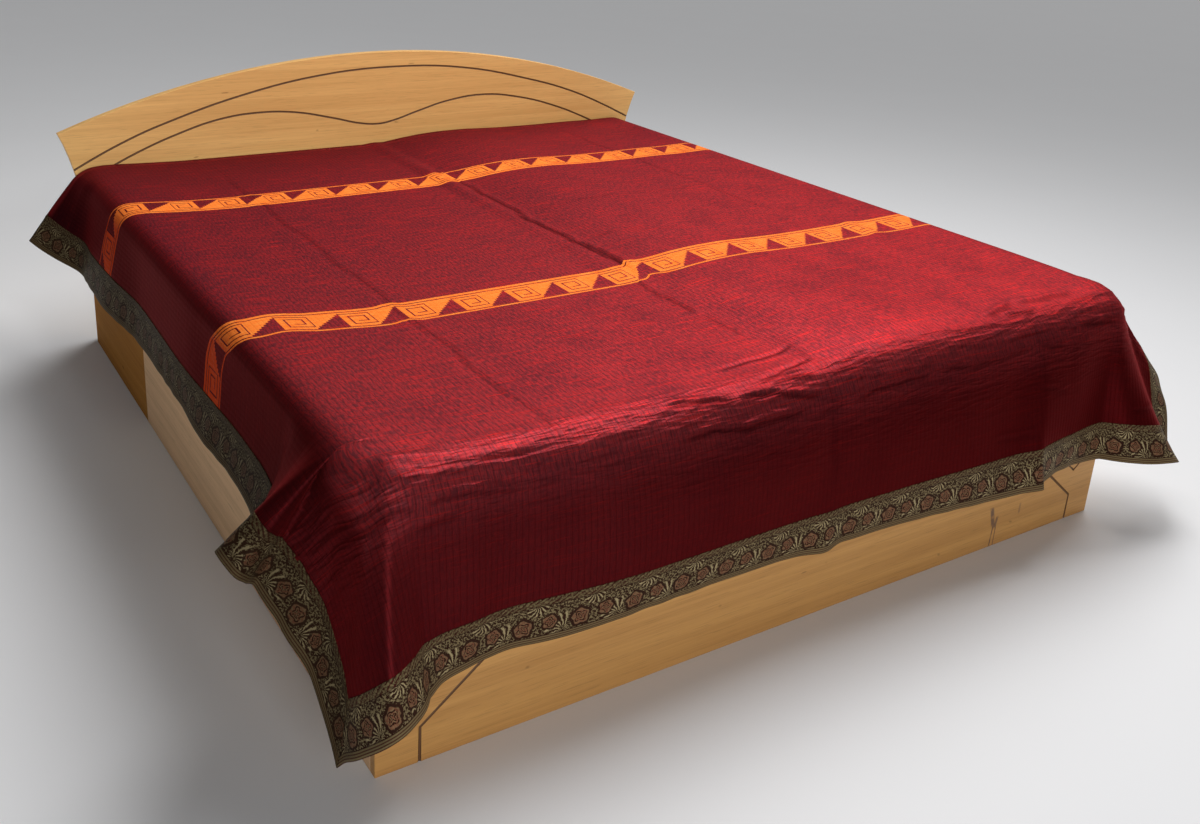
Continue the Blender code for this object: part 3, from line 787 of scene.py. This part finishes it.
# The grid's cross lines are closer together up to FINE_END, where the cloth turns and
# crinkles. The cloth's underside takes every third line of its upper face.
SKIP = 3
FINE_END, FINE_ROWS, PLAIN_ROWS, UNDER_COLUMNS = -0.80, 105, 172, 91
columns = np.linspace(SEAM_LEFT, SEAM_RIGHT, SKIP * UNDER_COLUMNS + 1)
fine = np.linspace(SEAM_FOOT, FINE_END, FINE_ROWS)
rows = np.concatenate([fine, np.linspace(FINE_END, HEAD_EDGE, PLAIN_ROWS)[1:]])
rows = rows[: (len(rows) - 1) // SKIP * SKIP + 1]
rows[-1] = HEAD_EDGE
grid_u, grid_v = np.meshgrid(columns, rows)
heights, shade_in_creases = crinkle(grid_u, grid_v)
crumples, shade_in_crumples = puff(grid_u, grid_v)
relief = heights + crumples
shade_in_creases = np.maximum(shade_in_creases, 0.8 * shade_in_crumples)
upper = cloth_points(grid_u, grid_v, PANEL_THICKNESS / 2 + relief)
lower = cloth_points(grid_u[::SKIP, ::SKIP], grid_v[::SKIP, ::SKIP], -PANEL_THICKNESS / 2)
fine_rows, fine_columns = grid_u.shape
coarse_rows, coarse_columns = grid_u[::SKIP, ::SKIP].shape
index = np.arange(fine_rows * fine_columns).reshape(fine_rows, fine_columns)
under = index.size + np.arange(coarse_rows * coarse_columns).reshape(coarse_rows, coarse_columns)


def quads(ids):
    """Faces of a grid of point numbers, counter-clockwise seen from above."""
    corner_ids = [ids[:-1, :-1], ids[:-1, 1:], ids[1:, 1:], ids[1:, :-1]]
    return np.stack(corner_ids, axis=-1).reshape(-1, 4)


faces = quads(index).tolist() + quads(under)[:, ::-1].tolist()
for top_edge, low_edge, flip in (
    (index[0], under[0], True),
    (index[-1], under[-1], False),
    (index[:, 0], under[:, 0], False),
    (index[:, -1], under[:, -1], True),
):
    for k in range(len(low_edge) - 1):
        rim = [*top_edge[k * SKIP : k * SKIP + SKIP + 1], low_edge[k + 1], low_edge[k]]
        faces.append([int(i) for i in (rim[::-1] if flip else rim)])
quilted_panel = grid_object("quilted_cloth", np.vstack([upper, lower]).tolist(), faces)


def smooth_faces(obj):
    for polygon in obj.data.polygons:
        polygon.use_smooth = True


smooth_faces(quilted_panel)

# How far the woven bands run off their straight lines, toward the head, by place across:
# (u, shift of the foot band, shift of the head band)
WEFT_DRIFT = (
    (-1.08, 0.110, 0.045), (-1.01, 0.122, 0.045), (-0.965, 0.104, 0.040), (-0.935, 0.066, 0.034),
    (-0.905, 0.044, 0.026), (-0.875, 0.032, 0.018), (-0.83, 0.038, 0.008), (-0.80, 0.032, 0.004),
    (-0.77, 0.022, 0.002), (-0.71, 0.014, 0.0), (-0.62, 0.003, 0.0), (-0.585, 0.012, 0.005),
    (-0.55, 0.0, 0.0), (-0.045, 0.0, 0.0), (0.004, 0.006, 0.004), (0.022, 0.020, 0.006),
    (0.06, 0.004, 0.0), (0.10, 0.0, 0.0), (0.68, 0.0, 0.0), (0.72, 0.008, 0.0), (0.76, 0.0, 0.0),
    (1.11, 0.0, 0.0),
)
# Where the foot band's drift begins to give way to the head band's, and over what length
DRIFT_CHANGE, DRIFT_LENGTH = -0.40, 0.90


def both_faces(grid):
    """Values for the points of the cloth's upper face, then for those of its underside."""
    return np.concatenate([grid.ravel(), grid[::SKIP, ::SKIP].ravel()])


flat_u, flat_v, shade_in_creases = both_faces(grid_u), both_faces(grid_v), both_faces(shade_in_creases)
foot_drift, head_drift = by_place(WEFT_DRIFT)(flat_u).T
share = np.clip((flat_v - DRIFT_CHANGE) / DRIFT_LENGTH, 0, 1)
woven_v = flat_v - foot_drift * (1 - share) - head_drift * share


def mark_places(obj, name, *values):
    """Stores three numbers at each point, for the material to read by name."""
    places = obj.data.attributes.new(name, "FLOAT_VECTOR", "POINT")
    places.data.foreach_set("vector", np.stack(values, axis=1).ravel())


mark_places(quilted_panel, "flat", flat_u, flat_v, woven_v)
# How far each place is down in a crease, for the material's painted shade there
mark_places(quilted_panel, "shade_in_crease", shade_in_creases, shade_in_creases, shade_in_creases)
bm = bmesh.new()
bm.from_mesh(quilted_panel.data)
bmesh.ops.recalc_face_normals(bm, faces=bm.faces)
bm.to_mesh(quilted_panel.data)
bm.free()

# The two bands are the same fret, turned half round: right-angled stepped triangles with a
# square spiral running from each tip. Heights run from the edge with the thin line, and the
# spiral's corners are in millimetres.
BAND_FOOT, BAND_HEAD, BAND_HEIGHT, BETWEEN_BANDS = -0.443, 0.5675, 0.105, 0.05
FRET, HEAD_FRET, FOOT_TIP, HEAD_TIP = 0.125, 0.1235, -0.0765, -0.24
SPIRAL = ((0, 81), (61, 81), (61, 24), (15, 24), (15, 67), (48, 67), (48, 40), (29, 40))
SPIRAL_HALF = 0.00175
STAIR_START, STAIR_HEIGHT, TRIANGLE_HEIGHT, TRIANGLE_LENGTH = 0.010, 0.0075, 0.070, 0.065
EDGE_LINES, EDGE_LINE_HALF = (0.008, 0.093), 0.0020
BAND_EDGE_WANDER, STEP_WANDER = 0.0022, 0.0012
# Width of a quilting channel
CHANNEL = 0.0115

# Colours of the satin's two yarns toward the foot, and darkened as painted shade toward the
# head, then what lies on them
GROUND_AND_HEAD_SHADE = ((0.195, 0.0350, 0.0410), (0.066, 0.0160, 0.0265))
BRIGHT_AND_HEAD_SHADE = ((0.470, 0.0380, 0.0430), (0.275, 0.0205, 0.0295))
SLUB_RED, GLINT_RED = (0.74, 0.026, 0.022), (0.55, 0.012, 0.010)
STITCH_SHADE, CREASE_SHADE = (0.018, 0.001, 0.002), (0.016, 0.0012, 0.002)
DROP_SHADE, FLANK_SHADE = (0.040, 0.0004, 0.0005), (0.010, 0.0003, 0.0004)
HEAD_CORNER_SHADE = (0.034, 0.006, 0.010)
ORANGE = ((1.0, 0.17, 0.016), (1.0, 0.34, 0.064))
ORANGE_DROP_SHADE, ORANGE_STITCH_SHADE = (0.42, 0.014, 0.0005), (0.40, 0.06, 0.01)

satin, satin_shader, wire = finish(
    "maroon satin",
    0.42,
    Sheen_Weight=0.13,
    Sheen_Roughness=0.42,
    Sheen_Tint=(1.0, 0.06, 0.065, 1),
    Specular_IOR_Level=0.02,
    Specular_Tint=(1.0, 0.07, 0.08, 1),
)
u, v, w = parts_of(stored(wire, "flat", "Vector"))
crease_shade_mask = stored(wire, "shade_in_crease", "Fac")
cloth = vector_of(u, v)

# Where this place is in its band: how high, and how far along from the last tip
upper_band = w.maths("GREATER_THAN", w, BETWEEN_BANDS)
ragged = (speckle(cloth, (160, 700, 1), 1) - 0.5) * BAND_EDGE_WANDER
height = upper_band * (BAND_HEAD - w) + (1 - upper_band) * (w - BAND_FOOT) + ragged
from_tip = upper_band * ((HEAD_TIP - u) * (FRET / HEAD_FRET)) + (1 - upper_band) * (u - FOOT_TIP)
step_edge = (speckle(cloth, (900, 220, 1), 1) - 0.5) * STEP_WANDER
from_tip = (from_tip + 0.001).repeat(FRET) - 0.001 + step_edge

# The fret is below 0 inside its stepped triangle, its spiral and its two edge lines
stair = height.maths("FLOOR", (height - STAIR_START) / STAIR_HEIGHT) * STAIR_HEIGHT
slope = -from_tip - (1 - stair / TRIANGLE_HEIGHT) * TRIANGLE_LENGTH
fret = from_tip.most(slope).most(STAIR_START - height)
for (x0, y0), (x1, y1) in zip(SPIRAL, SPIRAL[1:]):
    middle_x, middle_y = (x0 + x1) / 2000, (y0 + y1) / 2000
    half_x, half_y = abs(x1 - x0) / 2000 + SPIRAL_HALF, abs(y1 - y0) / 2000 + SPIRAL_HALF
    bar = (abs(from_tip - middle_x) - half_x).most(abs(height - middle_y) - half_y)
    fret = fret.least(bar)
low_line, high_line = (abs(height - line) - EDGE_LINE_HALF for line in EDGE_LINES)
fret = fret.least(low_line.least(high_line))
inside_band = (abs(height - BAND_HEIGHT / 2) - BAND_HEIGHT / 2).rise(0.0006, -0.0006)
orange_share = inside_band * fret.rise(-0.0005, 0.0005)

# Over_edge is 0 on top of the bed and 1 down the drops, and flank is 1 on the left drop
over_edge = v.rise(-0.91, -1.12).most(u.rise(-0.89, -0.96)).most(u.rise(0.90, 0.97))
flank = u.rise(-0.875, -0.945) * v.rise(-0.99, -0.80)
from_stitch = abs(u.repeat(CHANNEL)) / (CHANNEL / 2)
# Painted shade along the quilting stitches, a little deeper on the drops
painted_stitch_shade = from_stitch.rise(0.26, 0.04) * over_edge.across(0.30, 0.38)

# Short flecks and long slubs of the brighter yarn, on a ground with painted shade toward the
# head and the left, and faint clouds of tone
cloud = speckle(cloth, (9, 7, 1), 3, 0.6)
fleck = speckle(cloth, (340, 60, 1), 2, 0.7) + (cloud - 0.5) * 0.12
slub = speckle(cloth, (8, 300, 1), 2, 0.7) + (cloud - 0.5) * 0.10
painted_head_shade = (v - u * 0.6).rise(-0.7, 1.3)
head_shade_and_clouds = painted_head_shade.most(cloud.rise(0.75, 0.25) * 0.30)
ground, bright = blend(head_shade_and_clouds, *GROUND_AND_HEAD_SHADE), blend(head_shade_and_clouds, *BRIGHT_AND_HEAD_SHADE)
silk = blend(fleck.rise(0.42, 0.60) * over_edge.across(0.90, 0.35), ground, bright)
silk = blend(slub.rise(0.56, 0.68) * over_edge.across(0.62, 0.30), silk, SLUB_RED)

# Painted shade in the stitches, down the drops and more to the right, deepest on the left drop,
# toward the head's left corner and in the creases, and painted glints on the foot drop
silk = blend(painted_stitch_shade, silk, STITCH_SHADE)
silk = blend(over_edge * u.rise(-0.9, 0.9).across(0.79, 0.90), silk, DROP_SHADE)
silk = blend(flank * 0.80, silk, FLANK_SHADE)
head_corner = v.rise(0.45, 0.95) * u.rise(0.9, -0.9).across(0.22, 0.50)
silk = blend(head_corner, silk, HEAD_CORNER_SHADE)
glint = speckle(cloth, (26, 420, 1), 2, 0.6).rise(0.58, 0.72) * over_edge
silk = blend(glint * v.rise(-1.22, -1.00).across(0.04, 0.12), silk, GLINT_RED)
silk = blend(crease_shade_mask * 0.72, silk, CREASE_SHADE)

# The bands' orange yarn, with painted shade over the edge and in the stitches
orange_yarn = blend(speckle(cloth, (24, 850, 1), 2).rise(0.35, 0.7), *ORANGE)
orange_yarn = blend(over_edge * over_edge * 0.84, orange_yarn, ORANGE_DROP_SHADE)
orange_yarn = blend(painted_stitch_shade * 0.6, orange_yarn, ORANGE_STITCH_SHADE)
attach(satin_shader, "Base Color", blend(orange_share, silk, orange_yarn))
attach(satin_shader, "Roughness", fleck.across(0.40, 0.53) + orange_share * 0.12)
attach(satin_shader, "Metallic", (1 - orange_share) * 0.50)

# The channels puff up between their stitches, and fine wrinkles crowd the zone just below
# the foot edge
zone = v.rise(-0.925, -0.985) * v.rise(-1.19, -1.03)
pillow = from_stitch.maths("POWER", from_stitch, 0.5) * over_edge.across(0.14, 0.16)
relief_height = pillow * (1 - zone * 0.6) + over_edge.across(0.05, 0.02) * fleck
for spots, depth in (((9, 50, 1), 0.85), ((19, 95, 1), 0.45)):
    ridge = 1 - abs(speckle(cloth, spots, 1, 0.5) * 2 - 1)
    wrinkle = ridge.maths("POWER", ridge, 2.5) * zone.across(0.08, 1.0)
    relief_height = relief_height + wrinkle * depth
emboss(satin_shader, relief_height, 0.0022, 0.9)
quilted_panel.data.materials.append(satin)
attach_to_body(quilted_panel, "root")
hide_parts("quilted_panel")


# --- Brocade border ---
# Woven ribbon 85 mm wide with roses and leaves on an olive-gold ground, sewn to the panel's
# left, foot and right edges and mitred at the foot corners. Its outer edge is bound in plum.
BORDER_THICKNESS, SEAM_GAP, MITRE_SPREAD = 0.0024, 0.0010, 0.12
LAP, LAP_LIFT, BINDING_LIFT, RIPPLE = 0.003, 0.0012, 0.0004, 0.0007
BORDER_POINTS, ACROSS_POINTS = 380, 16
ROSE_REPEAT, TWILL = 0.105, 0.0016
# Off the seam, where the slanting dashes end and where the binding starts, and their spacing
DASHES_END, BINDING_START, DASH_SPACING, PINSTRIPE_SPACING = 0.0118, 0.0712, 0.0135, 0.0044
# (place along the repeat, place off the seam, radius, turn) of each rose
ROSES = ((-0.028, 0.050, 0.0158, 0.4), (0.020, 0.046, 0.0130, 1.3))
# (place along the repeat, place off the seam, reach, blades, lean) of each fan of leaves
LEAF_FANS = ((0.0445, 0.066, 0.036, 15, 0.9), (-0.004, 0.010, 0.022, 13, -1.2))
OLIVE, PALE_GOLD, ROSE = (0.135, 0.098, 0.044), (0.50, 0.40, 0.22), (0.185, 0.072, 0.040)
DUSK, PLUM, LEFT_SHADE = (0.020, 0.0028, 0.0028), (0.060, 0.009, 0.008), (0.014, 0.008, 0.003)

brocade, brocade_shader, wire = finish(
    "brocade",
    0.5,
    Sheen_Weight=0.03,
    Sheen_Roughness=0.4,
    Sheen_Tint=(0.9, 0.75, 0.45, 1),
    Specular_IOR_Level=0.02,
)
length, width, side = parts_of(stored(wire, "ribbon", "Vector"))
ribbon = vector_of(length, width)
x = length.repeat(ROSE_REPEAT)
wobble = (speckle(ribbon, (95, 95, 1), 2, 0.6) - 0.5) * 0.0085
x, y = x + wobble, width + wobble * 0.8
patchy = speckle(ribbon, (240, 240, 1), 1)


def polar(centre_x, centre_y, radius, turn):
    """How far this place is from a motif's centre, in its radii, and the direction."""
    dx, dy = x - centre_x, y - centre_y
    return dx.maths("SQRT", dx * dx + dy * dy) / radius, dy.maths("ARCTAN2", dy, dx) + turn


# Two roses in each repeat: lobed, with broken dark lines between their petals
flowers, dark = None, None
for centre_x, centre_y, radius, turn in ROSES:
    far, around = polar(centre_x, centre_y, radius, turn)
    lobed = far - around.maths("COSINE", around * 5) * 0.08
    inner = far - around.maths("COSINE", around * 4 + 1.1) * 0.14
    flower = lobed.rise(1.04, 0.94)
    petals = abs(inner - 0.62).rise(0.12, 0.06).most(abs(inner - 0.28).rise(0.11, 0.05)) * flower
    ring = abs(lobed - 1.14).rise(0.21, 0.12)
    lines = (petals * patchy.rise(0.36, 0.46)).most(ring * patchy.rise(0.74, 0.56))
    flowers = flower if flowers is None else flowers.most(flower)
    dark = lines if dark is None else dark.most(lines)

# A fan of curling leaves springs up beside each pair of roses, and a smaller one fills the
# space between them and the seam
gleam = None
for centre_x, centre_y, reach, blades, lean in LEAF_FANS:
    far, around = polar(centre_x, centre_y, reach, 0)
    blade = around.maths("COSINE", around * blades + far * (6 * lean))
    fan = far.rise(1.0, 0.86) * far.rise(0.08, 0.20)
    dark = dark.most(blade.rise(0.30, 0.62) * fan * (1 - flowers))
    bright_blade = blade.rise(-0.30, -0.75) * fan * (1 - flowers)
    gleam = bright_blade if gleam is None else gleam.most(bright_blade)

# Small sprigs fill the rest, and their dark gaps come and go
bend = speckle(ribbon, (110, 110, 1), 1) - 0.5
foliage = wire.make(
    "ShaderNodeTexVoronoi",
    {"feature": "DISTANCE_TO_EDGE", "voronoi_dimensions": "2D"},
    {"Vector": vector_of(length * 140 + bend * 6, width * 200 + bend * 6), "Scale": 1.0},
)
gaps = (foliage - patchy.rise(0.36, 0.58) * 0.30).rise(0.055, -0.02)
dark = dark.most(gaps * (1 - flowers) * (1 - gleam))
twill = ((length + width * 0.7).wave(TWILL) * 0.5 + 0.5) * 0.5
thread = twill + speckle(ribbon, (900, 900, 1), 1) * 0.5
gold_thread = blend(thread * 0.55 + gleam * 0.45, OLIVE, PALE_GOLD)
weave = blend(flowers * patchy.rise(0.75, 0.30).across(0.35, 1.0), gold_thread, ROSE)
weave = blend(dark * 0.94, weave, DUSK)

# Slanting dashes at the seam, and thin plum lines along the binding at the hem. The left
# border is darkened with painted shade.
slant = length + width * 1.5 + wobble * 1.5
dashes = slant.wave(DASH_SPACING).rise(0.0, 0.4) * patchy.rise(0.35, 0.5)
edge_weave = blend(thread * 0.25, OLIVE, PALE_GOLD)
by_seam = width.rise(DASHES_END - 0.0003, DASHES_END - 0.0009) * (1 - dark * 0.6)
weave = blend(by_seam, weave, blend(dashes, edge_weave, PLUM))
weave = blend(abs(width - DASHES_END).rise(0.0013, 0.0006) * 0.7, weave, DUSK)
pinstripe = width.wave(PINSTRIPE_SPACING).rise(0.0, 0.5) * 0.85
by_hem = width.rise(BINDING_START + 0.0003, BINDING_START + 0.0009)
weave = blend(by_hem, weave, blend(pinstripe, edge_weave, PLUM))
weave = blend(abs(width - BINDING_START).rise(0.0011, 0.0005) * 0.8, weave, DUSK)
weave = blend(side.rise(0.0, -0.9) * 0.52, weave, LEFT_SHADE)
attach(brocade_shader, "Base Color", weave)
attach(brocade_shader, "Roughness", thread.across(0.42, 0.58))
attach(brocade_shader, "Metallic", (1 - dark) * 0.22)
pile = (1 - dark) * 0.5 + thread * 0.2 + flowers * 0.2 + gleam * 0.2
emboss(brocade_shader, pile, 0.0007, 0.8)


def add_border(name, node, along, seam, side):
    """A ribbon along one edge: places along it, its seam's place, and side, which is -1 for
    the left border, 0 for the foot's and 1 for the right one."""
    off_seam = np.concatenate([(-LAP,), np.linspace(0, BORDER_WIDTH, ACROSS_POINTS)])
    run, q = np.meshgrid(along, off_seam, indexing="ij")
    if side:
        lean = np.clip(1 - (run - SEAM_FOOT) / MITRE_SPREAD, 0, 1)
        u, v = seam + side * q, run - lean * (q - SEAM_GAP)
    else:
        lean_right = np.clip(1 - (SEAM_RIGHT - run) / MITRE_SPREAD, 0, 1)
        lean_left = np.clip(1 - (run - SEAM_LEFT) / MITRE_SPREAD, 0, 1)
        u, v = run + (lean_right - lean_left) * (q - SEAM_GAP), seam - q
    lift = LAP_LIFT * (1 - soft_step((q - 0.002) / 0.010))
    lift = lift + BINDING_LIFT * soft_step((q - 0.072) / 0.003)
    ripple = RIPPLE * np.sin(run * 61 + 2 * np.sin(run * 17)) * soft_step(q / 0.05)
    points = cloth_points(u, v, lift + ripple)
    ids = np.arange(run.size).reshape(run.shape)
    obj = grid_object(name, points.tolist(), quads(ids).tolist())
    smooth_faces(obj)
    bm = bmesh.new()
    bm.from_mesh(obj.data)
    if sum(face.normal.z * face.calc_area() for face in bm.faces) < 0:
        bmesh.ops.reverse_faces(bm, faces=bm.faces)
    bm.to_mesh(obj.data)
    bm.free()
    lengthwise = v if side else u
    mark_places(obj, "ribbon", lengthwise.ravel(), q.ravel(), np.full(q.size, float(side)))
    solidify = obj.modifiers.new("thickness", "SOLIDIFY")
    solidify.thickness, solidify.offset = BORDER_THICKNESS, 0
    obj.data.materials.append(brocade)
    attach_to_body(obj, "root")
    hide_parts(node)


side_run = np.linspace(SEAM_FOOT, HEAD_EDGE, BORDER_POINTS)
foot_run = np.linspace(SEAM_LEFT, SEAM_RIGHT, BORDER_POINTS)
add_border("brocade_left", "border_left", side_run, SEAM_LEFT, -1)
add_border("brocade_right", "border_right", side_run, SEAM_RIGHT, 1)
add_border("brocade_foot", "border_foot", foot_run, SEAM_FOOT, 0)
